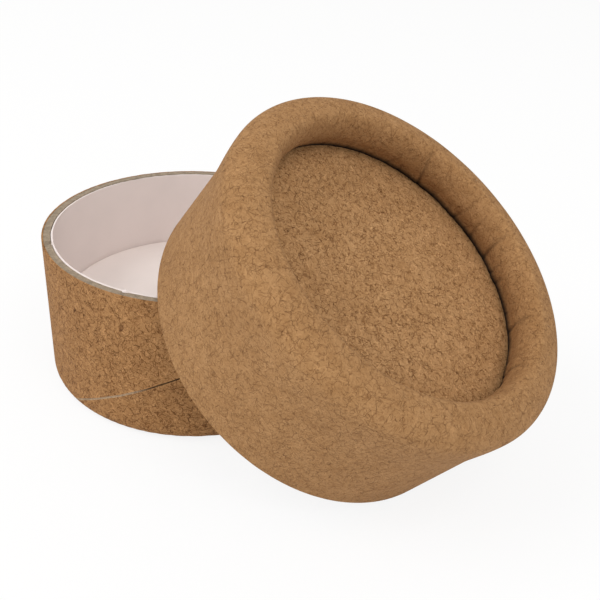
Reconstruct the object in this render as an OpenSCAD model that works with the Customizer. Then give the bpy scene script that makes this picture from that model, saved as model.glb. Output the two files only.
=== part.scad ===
// Round gift box of spiral-wound kraft board, shown with its lid taken off.
// The base stands upright on its rolled foot. The lid leans on the base's rim, mouth down.
// Origin: centre of the foot, on the surface it stands on. +Z is up the base's axis.
// +X points the way the lid leans, so the whole box is symmetric about the XZ plane.

/* [Board] */
// Thickness of the brown kraft paper outside
wrap_t = 0.35; // [0.2:0.05:0.5]
// Thickness of the grey board in the middle
board_t = 1.3; // [0.8:0.1:1.8]
// Thickness of the white lining paper
liner_t = 0.45; // [0.2:0.05:0.6]

/* [Base] */
// Outer diameter of the base
base_od = 60; // [50:1:90]
// Height of the base
base_h = 29.8; // [24:0.2:36]
// Width of the flat ring that the rolled foot stands on
foot_flat_w = 2.4; // [0.6:0.1:5]
// Inside radius of the bends on both sides of that ring
foot_bend = 0.3; // [0.2:0.1:0.8]
// Height of the bottom disc above the table
base_recess = 10.3; // [6:0.1:14]

/* [Lid] */
// Gap all round between the closed lid and the base
lid_clearance = 0.9; // [0.3:0.1:1.5]
// Height of the lid, from its mouth to the crest of its roll
lid_h = 28.4; // [26:0.2:36]
// Depth of the top disc below the crest of the roll
lid_recess = 8.5; // [6.5:0.1:12]
// Height of the roll's rounded crest
roll_h = 4.1; // [3.8:0.1:6]
// Width of the roll, from its outside to its inner lip
roll_w = 7.7; // [7:0.1:9]
// Share of that width that lies outside the crest
crest_share = 0.75; // [0.6:0.05:0.85]
// How far the roll swells out past the wall
roll_swell = 0.6; // [0.1:0.1:1]
// Height over which the wall swells out to the roll
swell_h = 9.3; // [5:0.1:14]
// How far the roll's end tucks back, as a share of the hollow behind it
tuck_share = 0.4; // [0:0.05:0.7]

/* [Discs] */
// Thickness of the kraft board discs
disc_t = 2; // [1:0.1:2.5]
// Thickness of the white discs glued inside
lining_disc_t = 1; // [0.5:0.1:1.5]
// Gap between a disc and the wall that it slid down
disc_gap = 0.05; // [0.02:0.01:0.2]

/* [Lean] */
// Half of the arc of rim that stands inside the leaning lid, in degrees
rim_in_lid = 56; // [45:1:65]
// Gap left between the lid's mouth and the rim that it leans on
lean_gap = 0.2; // [0.1:0.05:0.5]

/* [Hidden] */
$fn = 96;
// Number of straight steps in each bend of a section
bend_steps = 8;

wall_t = wrap_t + board_t + liner_t;
base_r = base_od / 2;
foot_r = foot_bend + wall_t;
flat_outer_r = base_r - foot_r;
flat_inner_r = flat_outer_r - foot_flat_w;
base_bore_r = base_r - wall_t;

lid_bore_r = base_r + lid_clearance;
lid_r = lid_bore_r + wall_t;
roll_r = lid_r + roll_swell;
roll_tuck = tuck_share * (roll_w - 2 * wall_t - roll_swell);
roll_z = lid_h - roll_h;
swell_z = roll_z - swell_h;
top_disc_z = lid_h - lid_recess;

// The lid's mouth rests on the table at one point and on the rim at two points.
// These follow from the place where the rim's circle passes through the lid's mouth.
rest_r = lid_bore_r - lean_gap;
reach = sqrt(rest_r ^ 2 - (base_r * sin(rim_in_lid)) ^ 2);
lean = acos(base_h / (lid_r + reach));
mouth_z = lid_r * cos(lean);
mouth_x = base_r * cos(rim_in_lid) + tan(lean) * (base_h - mouth_z);

kraft = [0.71, 0.54, 0.36];
grey_board = [0.6, 0.56, 0.5];
white_paper = [0.93, 0.9, 0.88];

// Smooth step from 0 to 1
function ease(t) = (1 - cos(180 * t)) / 2;

// Section of the base's tube at a depth below its outside, from the rim round the foot
// and up to the bottom disc
function base_section(depth) = [
    [base_r - depth, base_h],
    for (k = [0 : bend_steps])
        let (a = 90 * k / bend_steps)
        [flat_outer_r + (foot_r - depth) * cos(a), foot_r - (foot_r - depth) * sin(a)],
    for (k = [0 : bend_steps])
        let (a = 90 * k / bend_steps)
        [flat_inner_r - (foot_r - depth) * sin(a), foot_r - (foot_r - depth) * cos(a)],
    [flat_inner_r - foot_r + depth, base_recess]
];

// Radius of the roll's crest, and widths of the shoulder and the lip on its two sides, at a
// depth below its outside
function shoulder_w(depth) = crest_share * (roll_w - 2 * depth);
function lip_w(depth) = (1 - crest_share) * (roll_w - 2 * depth);
function crest_r(depth) = roll_r - depth - shoulder_w(depth);

// Section of the lid's tube at a depth below its outside, from the mouth over the roll
// and down to the top disc
function lid_section(depth) = [
    [lid_r - depth, 0],
    for (k = [0 : bend_steps])
        let (t = k / bend_steps)
        [lid_r - depth + roll_swell * ease(t), swell_z + swell_h * t],
    for (k = [1 : bend_steps])
        let (a = 90 * k / bend_steps)
        [crest_r(depth) + shoulder_w(depth) * cos(a), roll_z + (roll_h - depth) * sin(a)],
    for (k = [1 : bend_steps])
        let (a = 90 * k / bend_steps)
        [crest_r(depth) - lip_w(depth) * sin(a), roll_z + (roll_h - depth) * cos(a)],
    for (k = [1 : bend_steps])
        let (t = k / bend_steps)
        [roll_r - roll_w + depth + roll_tuck * ease(t), roll_z - (roll_z - top_disc_z) * t]
];

function reversed(points) = [for (k = [len(points) - 1 : -1 : 0]) points[k]];

// One ply of a wound tube, between two depths of its section
module ply(outer, inner) {
    rotate_extrude() polygon(concat(outer, reversed(inner)));
}

// Puts the lid, drawn standing on its mouth, where it leans on the base
module leaning() {
    translate([mouth_x, 0, mouth_z]) rotate([0, 90 - lean, 0]) children();
}

// Brown kraft paper wound round the base and turned in with its foot
module base_wrap() {
    color(kraft) ply(base_section(0), base_section(wrap_t));
}

// Grey board tube that carries the base, its foot rolled inward
module base_board() {
    color(grey_board) ply(base_section(wrap_t), base_section(wrap_t + board_t));
}

// White paper that lines the base, flush with the rim
module base_liner() {
    color(white_paper) ply(base_section(wrap_t + board_t), base_section(wall_t));
}

// Kraft board disc that rests on the rolled foot
module base_bottom_disc() {
    color(kraft) translate([0, 0, base_recess]) cylinder(r = base_bore_r - disc_gap, h = disc_t);
}

// White disc glued over it, the floor seen inside
module base_floor_disc() {
    color(white_paper)
        translate([0, 0, base_recess + disc_t])
        cylinder(r = base_bore_r - disc_gap, h = lining_disc_t);
}

// Brown kraft paper wound round the lid and over its roll
module lid_wrap() {
    color(kraft) leaning() ply(lid_section(0), lid_section(wrap_t));
}

// Grey board tube that carries the lid, rolled over at the closed end
module lid_board() {
    color(grey_board) leaning() ply(lid_section(wrap_t), lid_section(wrap_t + board_t));
}

// White paper that lines the lid
module lid_liner() {
    color(white_paper) leaning() ply(lid_section(wrap_t + board_t), lid_section(wall_t));
}

// Kraft board disc pushed up the tube against the roll, the recessed face of the lid
module lid_top_disc() {
    color(kraft) leaning()
        translate([0, 0, top_disc_z - disc_t])
        cylinder(r = lid_bore_r - disc_gap, h = disc_t);
}

// White disc glued behind it, inside the lid
module lid_inner_disc() {
    color(white_paper) leaning()
        translate([0, 0, top_disc_z - disc_t - lining_disc_t])
        cylinder(r = lid_bore_r - disc_gap, h = lining_disc_t);
}

base_wrap();
base_board();
base_liner();
base_bottom_disc();
base_floor_disc();
lid_wrap();
lid_board();
lid_liner();
lid_top_disc();
lid_inner_disc();
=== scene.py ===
import math

import bpy
import numpy as np
from mathutils import Matrix, Vector


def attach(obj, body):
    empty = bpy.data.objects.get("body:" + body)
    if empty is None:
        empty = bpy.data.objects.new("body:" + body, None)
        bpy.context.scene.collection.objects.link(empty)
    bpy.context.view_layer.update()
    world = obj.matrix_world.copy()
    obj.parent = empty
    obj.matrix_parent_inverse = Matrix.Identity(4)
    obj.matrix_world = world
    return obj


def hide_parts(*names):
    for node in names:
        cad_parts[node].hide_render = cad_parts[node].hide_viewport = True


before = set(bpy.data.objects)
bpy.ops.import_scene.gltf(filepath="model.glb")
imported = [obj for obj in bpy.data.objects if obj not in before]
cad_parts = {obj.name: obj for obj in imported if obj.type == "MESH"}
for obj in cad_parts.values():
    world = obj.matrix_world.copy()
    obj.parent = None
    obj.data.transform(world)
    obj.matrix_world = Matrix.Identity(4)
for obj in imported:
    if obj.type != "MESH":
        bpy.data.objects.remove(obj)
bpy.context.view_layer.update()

# Base wrap: brown kraft paper wound as a spiral round the base's board tube and turned in with
# its foot. Its edges meet in a butt seam that climbs round the wall and has opened near the foot.
MM = 0.001
wrap_t = 0.35 * MM
board_t = 1.3 * MM
liner_t = 0.45 * MM
wall_t = wrap_t + board_t + liner_t
base_r = 30 * MM
base_h = 29.8 * MM
foot_bend_r = 2.4 * MM
foot_flat_w = 2.4 * MM
disc_under_z = 10.3 * MM
# The seam passes seam_z at seam_angle, in degrees round the base, and climbs seam_rise a degree
seam_angle = 279
seam_z = 6.7 * MM
seam_rise = 0.285 * MM
# It starts this far short of the wall's foot, under the base, and ends this far under the rim
seam_below_foot = 2.5 * MM
seam_below_rim = 1.5 * MM
seam_waver = 0.06 * MM
# Degrees over which the groove, and the gap at either end, fade in and out
seam_fade = 4
gap_from_fade = 2.0
gap_to_fade = 1.2
gap_from = 256
gap_to = 293
# Width of the groove where it gapes and where it is shut, and how far it sinks into the ply
gap_w = 0.36 * MM
shut_w = 0.26 * MM
gap_sink = 0.60
shut_sink = 0.50
# Painted shade darkening the shut part of the groove
painted_seam_shade = 0.80
gap_pale = 0.52
# Painted highlight lightening the groove's upper edge
painted_edge_highlight = 0.15
wall_wander = 0.05 * MM
wrap_rim_rough = 0.07 * MM
nick_angle = 237.5
nick_w = 0.9
nick_depth = 0.7 * MM
base_kraft = (0.485, 0.262, 0.108)
bare_board = (0.50, 0.42, 0.31)
crisp_edge = math.radians(50)
columns = 1080
angles = np.linspace(0, 360, columns, endpoint=False)


def arc(centre, radii, start, end, steps):
    """Points of an elliptical arc between two angles in degrees, without the first one."""
    turns = np.radians(np.linspace(start, end, steps + 1)[1:])
    return [(centre[0] + radii[0] * math.cos(a), centre[1] + radii[1] * math.sin(a)) for a in turns]


def line(start, end, steps):
    """Points of a straight run, without the first one."""
    shares = np.linspace(0, 1, steps + 1)[1:]
    return [(start[0] + (end[0] - start[0]) * t, start[1] + (end[1] - start[1]) * t) for t in shares]


def base_section(depth):
    """Section of the base's tube at a depth below its outside, from the foot's turned-in end to the rim."""
    bend = foot_bend_r - depth
    flat_outer = base_r - foot_bend_r
    flat_inner = flat_outer - foot_flat_w
    inner = flat_inner - foot_bend_r + depth
    points = [(inner, disc_under_z)]
    points += line(points[-1], (inner, foot_bend_r), 6)
    points += arc((flat_inner, foot_bend_r), (bend, bend), 180, 270, 10)
    points += line(points[-1], (flat_outer, depth), 4)
    points += arc((flat_outer, foot_bend_r), (bend, bend), 270, 360, 10)
    points += line(points[-1], (base_r - depth, base_h), 40)
    return np.array(points)


def along_section(section, positions):
    """Points of a section at the given distances along it, the last of which is its end."""
    steps = np.concatenate([[0], np.cumsum(np.hypot(*np.diff(section, axis=0).T))])
    shares = positions / positions[-1] * steps[-1]
    return np.stack([np.interp(shares, steps, section[:, axis]) for axis in (0, 1)], axis=-1)


def ring_noise(count, seed, smooth):
    """One closed ring of random values from -1 to 1, soft over a number of columns."""
    ring = np.random.default_rng(seed).normal(size=count)
    width = np.minimum(np.arange(count), count - np.arange(count)) / smooth
    soft = np.real(np.fft.ifft(np.fft.fft(ring) * np.fft.fft(np.exp(-width ** 2))))
    return soft / np.abs(soft).max()


def ring_share(count, seed, smooth):
    """One closed ring of random values from 0 to 1, soft over a number of columns."""
    return 0.5 + 0.5 * ring_noise(count, seed, smooth)


def dent(middle, width):
    """A soft bump of height 1 round the given angle, both in degrees."""
    return np.exp(-((angles - middle) / width) ** 2)


def cut_edge(skins, row, seed, smooth, height):
    """Lets one row of a ply's skins rise or fall by up to a height, as a saw leaves a cut edge."""
    for number, skin in enumerate(skins, seed):
        skin[:, row, 1] += ring_share(skin.shape[0], number, smooth) * height


def new_piece(name, points, faces):
    """Smooth object from points and faces, whose cut edges stay crisp."""
    mesh = bpy.data.meshes.new(name)
    mesh.from_pydata(points, [], faces)
    mesh.polygons.foreach_set("use_smooth", [True] * len(mesh.polygons))
    mesh.set_sharp_from_angle(angle=crisp_edge)
    piece = bpy.data.objects.new(name, mesh)
    bpy.context.collection.objects.link(piece)
    return piece


def turned_piece(name, outer, inner, place=Matrix.Identity(4), tint=None):
    """Closed shell of one ply: outer and inner give radius and height for every column and row."""
    around_count, rows = outer.shape[:2]
    around = np.radians(np.linspace(0, 360, around_count, endpoint=False))
    loops = np.concatenate([outer, inner[:, ::-1]], axis=1)
    count = loops.shape[1]
    xs = loops[:, :, 0] * np.cos(around)[:, None]
    ys = loops[:, :, 0] * np.sin(around)[:, None]
    points = np.stack([xs, ys, loops[:, :, 1]], axis=-1).reshape(-1, 3)
    placed = points @ np.array(place.to_3x3()).T + np.array(place.translation)
    column = np.arange(around_count)[:, None] * count
    column_next = np.roll(np.arange(around_count), -1)[:, None] * count
    row = np.arange(count)[None, :]
    row_next = np.roll(np.arange(count), -1)[None, :]
    faces = np.stack([column + row, column_next + row, column_next + row_next, column + row_next], axis=-1)
    piece = new_piece(name, placed.tolist(), faces.reshape(-1, 4).tolist())
    if tint is not None:
        # Red holds painted shade and painted highlight, as how light the paper is drawn; green how far the
        # board shows through
        marks = piece.data.color_attributes.new("shade", "FLOAT_COLOR", "POINT")
        values = np.zeros((around_count, count, 4))
        values[:, :rows, :2] = tint
        values[:, rows:, :2] = tint[:, ::-1]
        values[:, :, 3] = 1
        marks.data.foreach_set("color", values.reshape(-1))
    return piece


def node_tree(material):
    """The node tree of a material or world, and a short maker of its nodes and links."""
    material.use_nodes = True
    tree = material.node_tree

    def add(kind, inputs=None, **settings):
        made = tree.nodes.new(kind)
        for key, value in settings.items():
            setattr(made, key, value)
        for key, value in (inputs or {}).items():
            if isinstance(value, bpy.types.NodeSocket):
                tree.links.new(value, made.inputs[key])
            else:
                made.inputs[key].default_value = value
        return made
    return tree, add


def ramp(add, factor, stops):
    """Grey ramp through two (position, grey) stops."""
    made = add("ShaderNodeValToRGB", {"Fac": factor})
    for element, (position, grey) in zip(made.color_ramp.elements, stops):
        element.position = position
        element.color = (grey, grey, grey, 1)
    return made.outputs["Color"]


def scaled(colour, share):
    """A colour times a share, with its alpha."""
    return (*[min(1, part * share) for part in colour], 1)


def kraft_paper(name, colour, fibre_contrast, mottle_contrast, bump_height, shaded=False):
    """Unbleached kraft: soft cloudy mottling, long fibres lying every way and a few dark specks."""
    # How large each kind of mark is, and its tint over the plain paper
    cloud_size = 6.5 * MM
    cloud_tint = (0.84, 0.80, 0.74)
    blotch_size = 1.7 * MM
    blotch_tint = (0.86, 0.82, 0.76)
    grain_size = 0.32 * MM
    grain_tint = (0.78, 0.73, 0.66)
    fibre_tint = (0.48, 0.37, 0.26)
    speck_apart = 2.6 * MM
    speck_tint = (0.30, 0.24, 0.20)
    speck_contrast = 0.8
    curl_size = 1.4 * MM
    curl_reach = 1.1 * MM
    pale_size = 1.4 * MM
    pale_width = 0.14 * MM
    pale_turn = (1.7, 0.4, 1.2)
    pale_share = 1.45
    # Cell size and line width in millimetres, and turn in radians, of each lay of dark fibres
    lays = [(1.1, 0.10, (0.3, 0.9, 0.2)), (1.6, 0.10, (1.3, 0.2, 1.9)), (2.3, 0.13, (2.2, 1.1, 0.7)),
            (0.8, 0.09, (0.9, 2.4, 2.6)), (1.3, 0.09, (2.7, 1.8, 0.4))]
    material = bpy.data.materials.new(name)
    tree, add = node_tree(material)
    shader = tree.nodes["Principled BSDF"]
    place = add("ShaderNodeTexCoord").outputs["Object"]

    def mixed(base, factor, tint, amount):
        """Lays a darker tint over the base where the factor is high."""
        share = add("ShaderNodeMath", {0: factor, 1: amount}, operation="MULTIPLY").outputs[0]
        mix = add("ShaderNodeMix", {"Factor": share}, data_type="RGBA", blend_type="MULTIPLY")
        tree.links.new(base, mix.inputs["A"])
        mix.inputs["B"].default_value = (*tint, 1)
        return mix.outputs["Result"]

    def noise(size, detail, turn=(0, 0, 0), roughness=0.6):
        """Noise whose grains measure about the given size."""
        moved = add("ShaderNodeMapping", {"Vector": place, "Rotation": turn})
        made = add("ShaderNodeTexNoise", {"Vector": moved.outputs[0], "Scale": 1 / size,
                                          "Detail": detail, "Roughness": roughness})
        return made.outputs["Fac"]

    bend = add("ShaderNodeTexNoise", {"Vector": place, "Scale": 1 / curl_size, "Detail": 1.0})
    curled = add("ShaderNodeVectorMath",
                 {0: bend.outputs["Color"], 1: (curl_reach, curl_reach, curl_reach), 2: place},
                 operation="MULTIPLY_ADD").outputs[0]

    def fibres(size, width, turn):
        """Thin curly lines of an even width along the edges of bent cells, broken into short lengths."""
        moved = add("ShaderNodeMapping", {"Vector": curled, "Rotation": turn}).outputs[0]
        cells = add("ShaderNodeTexVoronoi", {"Vector": moved, "Scale": 1 / size},
                    feature="DISTANCE_TO_EDGE")
        share = 0.5 * width / size
        curl = ramp(add, cells.outputs["Distance"], [(0.35 * share, 1.0), (share, 0.0)])
        breaks = ramp(add, noise(0.8 * size, 1, turn=turn[::-1]), [(0.49, 0.0), (0.56, 1.0)])
        return add("ShaderNodeMath", {0: curl, 1: breaks}, operation="MULTIPLY").outputs[0]

    base = add("ShaderNodeRGB").outputs[0]
    base.default_value = (*colour, 1)
    clouds = ramp(add, noise(cloud_size, 3), [(0.3, 1.0), (0.7, 0.0)])
    tone = mixed(base, clouds, cloud_tint, mottle_contrast)
    blotches = ramp(add, noise(blotch_size, 3), [(0.36, 1.0), (0.64, 0.0)])
    tone = mixed(tone, blotches, blotch_tint, mottle_contrast)
    grain = ramp(add, noise(grain_size, 4, roughness=0.75), [(0.36, 1.0), (0.64, 0.0)])
    tone = mixed(tone, grain, grain_tint, mottle_contrast)
    relief = grain
    for size, width, turn in lays:
        lines = fibres(size * MM, width * MM, turn)
        tone = mixed(tone, lines, fibre_tint, fibre_contrast)
        relief = add("ShaderNodeMath", {0: relief, 1: lines}, operation="ADD").outputs[0]
    pale = fibres(pale_size, pale_width, pale_turn)
    pale = add("ShaderNodeMath", {0: pale, 1: 0.5 * fibre_contrast}, operation="MULTIPLY").outputs[0]
    light = add("ShaderNodeMix", {"Factor": pale}, data_type="RGBA")
    tree.links.new(tone, light.inputs["A"])
    light.inputs["B"].default_value = scaled(colour, pale_share)
    specks = add("ShaderNodeTexVoronoi", {"Vector": place, "Scale": 1 / speck_apart})
    dots = ramp(add, specks.outputs["Distance"], [(0.035, 1.0), (0.06, 0.0)])
    tone = mixed(light.outputs["Result"], dots, speck_tint, speck_contrast)
    if shaded:
        # Red multiplies in painted shade and painted highlight; green bares the pale board under a gap
        shade = add("ShaderNodeVertexColor", layer_name="shade").outputs["Color"]
        marks = add("ShaderNodeSeparateColor", {"Color": shade})
        painted_shade_mix = add("ShaderNodeMix", {"Factor": 1.0}, data_type="RGBA", blend_type="MULTIPLY")
        tree.links.new(tone, painted_shade_mix.inputs["A"])
        tree.links.new(marks.outputs["Red"], painted_shade_mix.inputs["B"])
        bare = add("ShaderNodeMix", {"Factor": marks.outputs["Green"]}, data_type="RGBA")
        tree.links.new(painted_shade_mix.outputs["Result"], bare.inputs["A"])
        bare.inputs["B"].default_value = (*bare_board, 1)
        tone = bare.outputs["Result"]
    tree.links.new(tone, shader.inputs["Base Color"])
    shader.inputs["Roughness"].default_value = 0.86
    shader.inputs["Specular IOR Level"].default_value = 0.25
    bump = add("ShaderNodeBump", {"Height": relief, "Distance": bump_height, "Strength": 1.0}, invert=True)
    tree.links.new(bump.outputs[0], shader.inputs["Normal"])
    return material


def dress(piece, body, material, node):
    """Gives a piece its material and its place in the frame."""
    piece.data.materials.append(material)
    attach(piece, body)
    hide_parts(node)


skin = base_section(0)
under = base_section(wrap_t)
length = np.hypot(*np.diff(skin, axis=0).T).sum()
# Places along the section, measured from the foot's turned-in end. The seam climbs from under the
# foot to the rim; round the rest of the wall the rows of the mesh come down again with no groove.
foot_at = length - base_h - seam_below_foot
rim_at = length - seam_below_rim
seam_at = length - base_h + seam_z
seam_start = seam_angle - (seam_at - foot_at) / seam_rise
seam_end = seam_angle + (rim_at - seam_at) / seam_rise
unrolled = (angles - seam_start) % 360 + seam_start
held = np.interp(unrolled, [seam_start, seam_end, seam_start + 360], [foot_at, rim_at, foot_at])
held += ring_noise(columns, 11, 7) * seam_waver
set_in = np.clip((unrolled - seam_start) / seam_fade, 0, 1)
run_out = np.clip((seam_end + 0.5 * seam_fade - unrolled) / seam_fade, 0, 1)
strength = set_in * run_out
still_open = 1 / (1 + np.exp((angles - gap_to) / gap_to_fade))
opened = still_open / (1 + np.exp((gap_from - angles) / gap_from_fade))
uneven = 0.85 + 0.3 * ring_noise(columns, 12, 5)
half = (shut_w + (gap_w - shut_w) * opened * uneven) / 2
# Seven rows follow the seam, in half widths from its middle, so that both edges are rows of the mesh
groove_offsets = np.array([-1.6, -1.0, -0.8, 0.0, 0.8, 1.0, 1.6])
rows_below = 30
rows_above = 39
row_count = rows_below + len(groove_offsets) + rows_above
groove_floor = slice(rows_below + 2, rows_below + 5)
groove_sides = slice(rows_below + 1, rows_below + 6)
upper_edge = rows_below + 6
outer = np.zeros((columns, row_count, 2))
inner = np.zeros((columns, row_count, 2))
shade = np.zeros((columns, row_count, 2))
shade[:, :, 0] = 1
for number in range(columns):
    groove = held[number] + groove_offsets * half[number]
    places = np.concatenate([np.linspace(0, groove[0], rows_below + 1)[:-1], groove,
                             np.linspace(groove[-1], length, rows_above + 1)[1:]])
    outer[number] = along_section(skin, places)
    inner[number] = along_section(under, places)
    toward = inner[number, groove_floor] - outer[number, groove_floor]
    sink = shut_sink + (gap_sink - shut_sink) * opened[number]
    outer[number, groove_floor] += toward * sink * strength[number]
    # Painted shade in the shut groove and painted highlight on its upper edge; green bares the board where it
    # gapes
    shade[number, groove_sides, 0] = 1 - painted_seam_shade * strength[number] * (1 - opened[number])
    shade[number, groove_sides, 1] = gap_pale * strength[number] * opened[number]
    shade[number, upper_edge, 0] = 1 + painted_edge_highlight * strength[number]
# The wall above the seam wanders inward a little, as hand-wound board does
wander = ring_share(columns, 3, 24) * wall_wander
outer[:, upper_edge + 4:, 0] -= wander[:, None]
cut_edge([outer], -1, 15, 3, -wrap_rim_rough)
# A nick in the rim goes through all three plies
nick = dent(nick_angle, nick_w) * nick_depth
outer[:, -1, 1] -= nick
inner[:, -1, 1] -= nick
base_wrap = turned_piece("base_kraft_wrap", outer, inner, tint=shade)
base_paper = kraft_paper("kraft_on_base", base_kraft, fibre_contrast=0.85, mottle_contrast=0.80,
                         bump_height=0.05 * MM, shaded=True)
dress(base_wrap, "base", base_paper, "base_wrap")

# Base board: the grey-brown tube that carries the base, cut square at the rim, where its rough
# wound layers show, and rolled inward at the foot.
board_colour = (0.32, 0.255, 0.185)
rim_rough = 0.10 * MM


def ply(section_of, outer_depth, inner_depth, around_count):
    """The outer and inner skin of a ply between two depths of a tube, the same all round."""
    skins = (section_of(outer_depth), section_of(inner_depth))
    return [np.repeat(section[None], around_count, axis=0) for section in skins]


def raw_board(name, colour):
    """Cut grey board: mottled, with loose dark fibres along the edge."""
    mottle_size = 1.1 * MM
    fibre_size = 0.22 * MM
    material = bpy.data.materials.new(name)
    tree, add = node_tree(material)
    shader = tree.nodes["Principled BSDF"]
    place = add("ShaderNodeTexCoord").outputs["Object"]
    coarse = add("ShaderNodeTexNoise", {"Vector": place, "Scale": 1 / mottle_size, "Detail": 5.0})
    fine = add("ShaderNodeTexNoise", {"Vector": place, "Scale": 1 / fibre_size, "Detail": 3.0})
    mottle = ramp(add, coarse.outputs["Fac"], [(0.35, 0.0), (0.65, 1.0)])
    mix = add("ShaderNodeMix", {"Factor": mottle}, data_type="RGBA")
    mix.inputs["A"].default_value = scaled(colour, 0.78)
    mix.inputs["B"].default_value = scaled(colour, 1.18)
    loose = ramp(add, fine.outputs["Fac"], [(0.56, 0.0), (0.66, 0.55)])
    flecks = add("ShaderNodeMix", {"Factor": loose}, data_type="RGBA")
    tree.links.new(mix.outputs["Result"], flecks.inputs["A"])
    flecks.inputs["B"].default_value = scaled(colour, 0.45)
    tree.links.new(flecks.outputs["Result"], shader.inputs["Base Color"])
    shader.inputs["Roughness"].default_value = 0.92
    shader.inputs["Specular IOR Level"].default_value = 0.2
    bump = add("ShaderNodeBump", {"Height": fine.outputs["Fac"], "Distance": 0.08 * MM, "Strength": 0.8})
    tree.links.new(bump.outputs[0], shader.inputs["Normal"])
    return material


outer, inner = ply(base_section, wrap_t, wrap_t + board_t, columns)
cut_edge((outer, inner), -1, 21, 4, -rim_rough)
outer[:, -1, 1] -= nick
inner[:, -1, 1] -= nick
base_board = turned_piece("base_board_tube", outer, inner)
board_grey = raw_board("cut_grey_board", board_colour)
dress(base_board, "base", board_grey, "base_board")

# Base liner: white paper inside the board tube. Its edge shows as a bright ring inside the rim,
# nicked in one place and with a small tuft of torn paper in another.
lining_white = (0.83, 0.745, 0.715)
liner_set_back = 0.14 * MM
liner_set_back_varies = 0.05 * MM
liner_outer_drop = 0.10 * MM
liner_inner_drop = 0.06 * MM
tuft_angle = 287.0
tuft_w = 1.1
tuft_out = 0.7 * MM
tuft_rise = 0.3 * MM


def white_paper(name, colour):
    """Smooth bleached paper with faint smudges and a soft, slightly uneven surface."""
    smudge_size = 9 * MM
    tooth_size = 0.4 * MM
    material = bpy.data.materials.new(name)
    tree, add = node_tree(material)
    shader = tree.nodes["Principled BSDF"]
    place = add("ShaderNodeTexCoord").outputs["Object"]
    cloud = add("ShaderNodeTexNoise", {"Vector": place, "Scale": 1 / smudge_size, "Detail": 3.0})
    smudges = ramp(add, cloud.outputs["Fac"], [(0.40, 0.0), (0.72, 0.5)])
    mix = add("ShaderNodeMix", {"Factor": smudges}, data_type="RGBA")
    mix.inputs["A"].default_value = (*colour, 1)
    mix.inputs["B"].default_value = scaled(colour, 0.93)
    tree.links.new(mix.outputs["Result"], shader.inputs["Base Color"])
    shader.inputs["Roughness"].default_value = 0.7
    shader.inputs["Specular IOR Level"].default_value = 0.3
    fine = add("ShaderNodeTexNoise", {"Vector": place, "Scale": 1 / tooth_size, "Detail": 4.0})
    bump = add("ShaderNodeBump", {"Height": fine.outputs["Fac"], "Distance": 0.015 * MM, "Strength": 0.6})
    tree.links.new(bump.outputs[0], shader.inputs["Normal"])
    return material


outer, inner = ply(base_section, wrap_t + board_t, wall_t, columns)
cut_edge((outer, inner), -1, 31, 4, -rim_rough)
# Its edge is a touch lower and thinner than the board's, which leaves a fine dark line between
outer[:, -1, 0] -= liner_set_back + liner_set_back_varies * ring_noise(columns, 33, 5)
outer[:, -1, 1] -= liner_outer_drop + nick
inner[:, -1, 1] -= liner_inner_drop + nick
# The tuft lies out over the board's edge and stands up a little
tuft = dent(tuft_angle, tuft_w)
outer[:, -1, 0] += tuft * tuft_out
outer[:, -1, 1] += tuft * tuft_rise
inner[:, -1, 1] += tuft * tuft_rise
base_liner = turned_piece("base_lining", outer, inner)
paper_white = white_paper("white_lining_paper", lining_white)
dress(base_liner, "base", paper_white, "base_liner")

# Base discs: a kraft board disc dropped into the tube until it rests on the rolled foot, and
# a white paper disc glued over it as the floor. Both have a slightly soft, stamped edge.
disc_t = 2 * MM
lining_disc_t = 1 * MM
disc_gap = 0.05 * MM
disc_r = base_r - wall_t - disc_gap
board_edge = 0.2 * MM
floor_edge = 0.7 * MM
bottom_lumps = 0.05 * MM
floor_lumps = 0.10 * MM
disc_kraft = (0.58, 0.335, 0.153)
floor_white = (0.90, 0.815, 0.775)


def stamped_disc(name, radius, bottom, thickness, edge, lumps, seed, place=Matrix.Identity(4)):
    """Disc with rounded edges, whose upper face wanders softly inward by at most lumps."""
    flat_rings = 59
    steps = 240
    wave_count = 9
    wave_size = 4.5 * MM
    bends = np.radians([30, 60, 90])
    rings = np.concatenate([np.linspace(0, radius - edge, flat_rings + 1)[1:],
                            radius - edge + edge * np.sin(bends)])
    drop = np.concatenate([np.zeros(flat_rings), edge * (1 - np.cos(bends))])
    around = np.radians(np.linspace(0, 360, steps, endpoint=False))
    random = np.random.default_rng(seed)
    waves = random.normal(size=(wave_count, 2)) / wave_size
    phases = random.uniform(0, math.tau, wave_count)
    xs = rings[:, None] * np.cos(around)[None]
    ys = rings[:, None] * np.sin(around)[None]
    swell = sum(np.cos(wave[0] * xs + wave[1] * ys + phase) for wave, phase in zip(waves, phases))
    sink = lumps * (0.5 + swell / (2 * wave_count))
    top = bottom + thickness - drop[:, None] - sink
    low = np.broadcast_to(bottom + drop[:, None], xs.shape)
    upper = np.stack([xs, ys, top], axis=-1).reshape(-1, 3)
    lower = np.stack([xs, ys, low], axis=-1).reshape(-1, 3)
    middles = np.array([[0, 0, bottom + thickness - lumps / 2], [0, 0, bottom]])
    points = np.concatenate([upper, lower, middles]) @ np.array(place.to_3x3()).T
    points = points + np.array(place.translation)
    size = len(rings) * steps
    rim = size - steps
    faces = []
    for step in range(steps):
        after = (step + 1) % steps
        faces.append((2 * size, step, after))
        faces.append((2 * size + 1, size + after, size + step))
        for here in range(0, rim, steps):
            there = here + steps
            faces.append((here + step, there + step, there + after, here + after))
            faces.append((size + here + step, size + here + after, size + there + after, size + there + step))
        faces.append((rim + step, size + rim + step, size + rim + after, rim + after))
    return new_piece(name, points.tolist(), faces)


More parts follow.
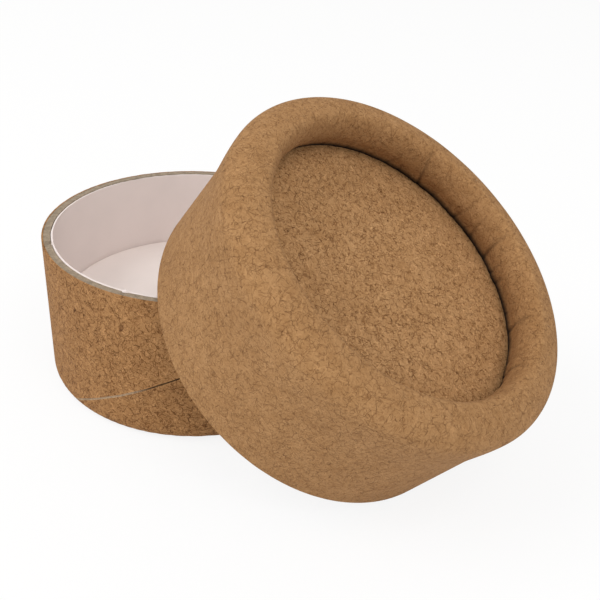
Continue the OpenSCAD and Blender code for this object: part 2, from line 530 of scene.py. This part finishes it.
disc_paper = kraft_paper("kraft_disc_face", disc_kraft, fibre_contrast=0.72, mottle_contrast=0.80,
                         bump_height=0.05 * MM)
bottom_disc = stamped_disc("base_bottom_board", disc_r, disc_under_z, disc_t, board_edge, bottom_lumps, 5)
dress(bottom_disc, "base", disc_paper, "base_bottom_disc")
floor_disc = stamped_disc("base_floor_card", disc_r, disc_under_z + disc_t, lining_disc_t,
                          floor_edge, floor_lumps, 6)
floor_paper = white_paper("white_floor_card", floor_white)
dress(floor_disc, "base", floor_paper, "base_floor_disc")

# Lid wrap: kraft paper wound round the lid and drawn over its fat roll. It creases into short
# radial pleats where the roll turns in, and its edge there is scalloped against the disc.
lid_clearance = 0.9 * MM
lid_bore_r = base_r + lid_clearance
lid_r = lid_bore_r + wall_t
lid_h = 28.4 * MM
lid_recess = 8.5 * MM
roll_h = 4.1 * MM
roll_w = 7.7 * MM
crest_share = 0.75
roll_swell = 0.6 * MM
swell_h = 9.3 * MM
tuck_share = 0.4
roll_r = lid_r + roll_swell
roll_tuck = tuck_share * (roll_w - 2 * wall_t - roll_swell)
roll_z = lid_h - roll_h
face_z = lid_h - lid_recess
# The lid leans on the rim of the base and stands on the table, by the same sums as in the CAD model
half_rim_in_lid = math.radians(56)
lean_gap = 0.2 * MM
reach = math.sqrt((lid_bore_r - lean_gap) ** 2 - (base_r * math.sin(half_rim_in_lid)) ** 2)
lean = math.acos(base_h / (lid_r + reach))
mouth_z = lid_r * math.cos(lean)
mouth_x = base_r * math.cos(half_rim_in_lid) + math.tan(lean) * (base_h - mouth_z)
leaning = Matrix.Translation((mouth_x, 0, mouth_z)) @ Matrix.Rotation(math.pi / 2 - lean, 4, "Y")
# Where each crease lies, in degrees round the lid, and how strong it is
creases = [(10, 0.26), (15, 0.30), (22, 0.14), (38.5, 0.32), (47, 0.12), (61, 0.18), (66, 0.20),
           (73, 0.34), (83, 0.26), (88, 0.16), (94, 0.26), (98, 0.16), (107, 0.12), (114, 0.36),
           (124, 0.14), (131, 0.18), (143, 0.12), (150, 0.18), (163, 0.12), (176, 0.16), (190, 0.12),
           (204, 0.18), (217, 0.12), (229, 0.18), (240, 0.12), (251, 0.18), (268, 0.14), (284, 0.22),
           (295, 0.12), (306, 0.18), (319, 0.14), (333, 0.24), (346, 0.12), (355, 0.16)]
strongest = 0.36
crease_w = 0.75
crease_depth = 0.30 * MM
crease_run = 2.4
crease_lean = 7
fold_w = 4.5
fold_aside = 2.2
fold_push = 0.45 * MM
scallop_depth = 0.24 * MM
push_in = 0.55 * MM
push_out = 0.28 * MM
crest_dip = 0.10 * MM
crest_rows = 12
mouth_rough = 0.04 * MM
# Painted shade on the roll's inner face, darker toward the disc, and in the crease valleys
painted_roll_shade = 0.18
painted_crease_shade = 0.45
# Painted shade of the dark gap line: the light left on the last rows of the paper, where it draws back from
# the disc
painted_gap_shade = [0.85, 0.55, 0.25, 0.08, 0.05]
end_back = [0.12 * MM, 0.30 * MM]
lid_kraft = (0.470, 0.264, 0.115)


def lid_section(depth):
    """Section of the lid's tube at a depth below its outside, from the mouth round to the roll's end."""
    shoulder = crest_share * (roll_w - 2 * depth)
    lip = (1 - crest_share) * (roll_w - 2 * depth)
    crest_r = roll_r - depth - shoulder
    rise = roll_h - depth
    swell_z = roll_z - swell_h
    points = [(lid_r - depth, 0)]
    points += line(points[-1], (lid_r - depth, swell_z), 24)
    points += [(lid_r - depth + roll_swell * (1 - math.cos(math.pi * t)) / 2, swell_z + swell_h * t)
               for t in np.linspace(0, 1, 21)[1:]]
    points += arc((crest_r, roll_z), (shoulder, rise), 0, 90, 24)
    points += arc((crest_r, roll_z), (lip, rise), 90, 180, 14)
    points += [(roll_r - roll_w + depth + roll_tuck * (1 - math.cos(math.pi * t)) / 2,
                roll_z - (roll_z - face_z) * t) for t in np.linspace(0, 1, 13)[1:]]
    return np.array(points)


outer, inner = ply(lid_section, 0, wrap_t, columns)
row_count = outer.shape[1]
crest_row = int(np.argmax(outer[0, :, 1]))
turned_in = np.clip((np.arange(row_count) - crest_row) / (row_count - 1 - crest_row), 0, 1)
folds = np.zeros(columns)
valleys = np.zeros((columns, row_count))
slants = np.random.default_rng(17).uniform(-crease_lean, crease_lean, len(creases))
for (angle, depth), slant in zip(creases, slants):
    away = (angles - angle + 180) % 360 - 180
    folds += np.exp(-((away - fold_aside) / fold_w) ** 2) * depth * fold_push
    # A strong crease runs further out over the roll than a weak one, and each leans its own way
    run = crease_run * depth
    reached = np.clip((turned_in - 1 + run) / run, 0, 1)
    aside = away[:, None] - slant * (1 - turned_in)[None, :]
    valleys += np.exp(-(aside / crease_w) ** 2) * np.sqrt(reached)[None, :] * depth / strongest
valleys = np.clip(valleys, 0, 1)
scallops = scallop_depth * (ring_noise(columns, 7, 16) + 0.5 * ring_noise(columns, 8, 6))
push = (folds + scallops)[:, None] * (turned_in ** 0.9)[None, :]
push -= crease_depth * valleys
push[:, -2:] -= np.array(end_back)
outer[:, :, 0] -= np.clip(push, -push_out, push_in)
# The crest dips a little here and there, because the roll is drawn round in one stroke
near_crest = np.exp(-((np.arange(row_count) - crest_row) / crest_rows) ** 2)
outer[:, :, 1] -= crest_dip * ring_share(columns, 9, 20)[:, None] * near_crest[None, :]
outer[:, 0:2, 1] += mouth_rough * ring_share(columns, 13, 5)[:, None]
shade = np.zeros((columns, row_count, 2))
# Painted shade: the roll's inner face darkens toward the disc and each crease valley darkens
shade[:, :, 0] = 1 - painted_roll_shade * turned_in[None, :] ** 2 - painted_crease_shade * valleys
# Painted shade of the dark gap line between the paper's edge and the disc
shade[:, -len(painted_gap_shade):, 0] *= np.array(painted_gap_shade)
lid_wrap = turned_piece("lid_kraft_wrap", outer, inner, leaning, tint=shade)
lid_paper = kraft_paper("kraft_on_lid", lid_kraft, fibre_contrast=0.45, mottle_contrast=0.72,
                        bump_height=0.04 * MM, shaded=True)
dress(lid_wrap, "lid", lid_paper, "lid_wrap")

# Lid board and liner: the board tube inside the roll, and the white paper that lines it. Only
# their cut edges and the lining show, at the mouth.
plain_columns = 480
board_mouth_rough = 0.10 * MM
liner_mouth_rough = 0.06 * MM
outer, inner = ply(lid_section, wrap_t, wrap_t + board_t, plain_columns)
cut_edge((outer, inner), 0, 41, 3, board_mouth_rough)
lid_board = turned_piece("lid_board_tube", outer, inner, leaning)
dress(lid_board, "lid", board_grey, "lid_board")
outer, inner = ply(lid_section, wrap_t + board_t, wall_t, plain_columns)
cut_edge((outer, inner), 0, 51, 3, liner_mouth_rough)
lid_liner = turned_piece("lid_lining", outer, inner, leaning)
dress(lid_liner, "lid", paper_white, "lid_liner")

# Lid discs: the recessed kraft board disc that closes the lid, pressed up against its roll,
# and the white disc glued behind it.
lid_disc_r = lid_bore_r - disc_gap
top_lumps = 0.14 * MM
back_lumps = 0.04 * MM
top_disc = stamped_disc("lid_top_board", lid_disc_r, face_z - disc_t, disc_t, board_edge,
                        top_lumps, 9, leaning)
dress(top_disc, "lid", disc_paper, "lid_top_disc")
back_disc = stamped_disc("lid_back_card", lid_disc_r, face_z - disc_t - lining_disc_t, lining_disc_t,
                         board_edge, back_lumps, 10, leaning)
dress(back_disc, "lid", paper_white, "lid_inner_disc")

# Studio: a plain white floor and backdrop under two soft boxes, one to the left and one to the
# right of the camera. The floor glows to the camera and keeps a faint shadow of the gift box.
floor_reach = 1.5
floor_drop = 0.02 * MM
glow_share = 0.86
ambient_strength = 0.62
lamp_aim = Vector((0.03, 0, 0.02))
floor_mesh = bpy.data.meshes.new("studio_floor")
floor_mesh.from_pydata([(-floor_reach, -floor_reach, 0), (floor_reach, -floor_reach, 0),
                        (floor_reach, floor_reach, 0), (-floor_reach, floor_reach, 0)], [], [(0, 1, 2, 3)])
studio_floor = bpy.data.objects.new("studio_floor", floor_mesh)
bpy.context.collection.objects.link(studio_floor)
studio_floor.location.z = -floor_drop
studio_white = bpy.data.materials.new("studio_white")
tree, add = node_tree(studio_white)
tree.nodes.remove(tree.nodes["Principled BSDF"])
rays = add("ShaderNodeLightPath")
seen = add("ShaderNodeMath", {0: rays.outputs["Is Camera Ray"], 1: rays.outputs["Is Glossy Ray"]},
           operation="MAXIMUM")
share = add("ShaderNodeMath", {0: seen.outputs[0], 1: glow_share}, operation="MULTIPLY")
matt = add("ShaderNodeBsdfDiffuse", {"Color": (0.92, 0.92, 0.92, 1)})
glow = add("ShaderNodeEmission", {"Color": (1, 1, 1, 1), "Strength": 1.0})
both = add("ShaderNodeMixShader", {0: share.outputs[0], 1: matt.outputs[0], 2: glow.outputs[0]})
tree.links.new(both.outputs[0], tree.nodes["Material Output"].inputs["Surface"])
floor_mesh.materials.append(studio_white)

world = bpy.data.worlds.new("studio_world")
bpy.context.scene.world = world
tree, add = node_tree(world)
rays = add("ShaderNodeLightPath")
ambient = add("ShaderNodeBackground", {"Color": (1.0, 0.98, 0.96, 1), "Strength": ambient_strength})
backdrop = add("ShaderNodeBackground", {"Color": (1, 1, 1, 1), "Strength": 1.0})
both = add("ShaderNodeMixShader",
           {0: rays.outputs["Is Camera Ray"], 1: ambient.outputs[0], 2: backdrop.outputs[0]})
tree.links.new(both.outputs[0], tree.nodes["World Output"].inputs["Surface"])


def soft_lamp(name, place, size, power):
    """Square soft box that faces the gift box on the table."""
    lamp = bpy.data.lights.new(name, "AREA")
    lamp.size = size
    lamp.energy = power
    holder = bpy.data.objects.new(name, lamp)
    holder.location = place
    aim = lamp_aim - Vector(place)
    holder.rotation_euler = aim.to_track_quat("-Z", "Y").to_euler()
    bpy.context.collection.objects.link(holder)


soft_lamp("key_soft_box", place=(-0.45, -0.55, 0.75), size=0.6, power=4.4)
soft_lamp("fill_soft_box", place=(0.55, -0.25, 0.8), size=0.7, power=3.3)

# Camera: close over the table, about 17 cm from the gift box, at the photograph's viewing angle
# and with its slight roll.
camera_place = (0.096903, -0.104486, 0.098357)
azimuth = math.radians(34.226)
elevation = math.radians(30.679)
camera_roll = math.radians(4.469)
camera = bpy.data.cameras.new("camera")
camera.lens = 46.917
camera.sensor_width = 36
camera.clip_start = 0.005
camera_holder = bpy.data.objects.new("camera", camera)
camera_holder.matrix_world = (Matrix.Translation(camera_place)
                              @ Matrix.Rotation(azimuth, 4, "Z")
                              @ Matrix.Rotation(math.pi / 2 - elevation, 4, "X")
                              @ Matrix.Rotation(camera_roll, 4, "Z"))
bpy.context.collection.objects.link(camera_holder)
bpy.context.scene.camera = camera_holder
bpy.context.scene.view_settings.view_transform = "Standard"

bpy.context.view_layer.update()
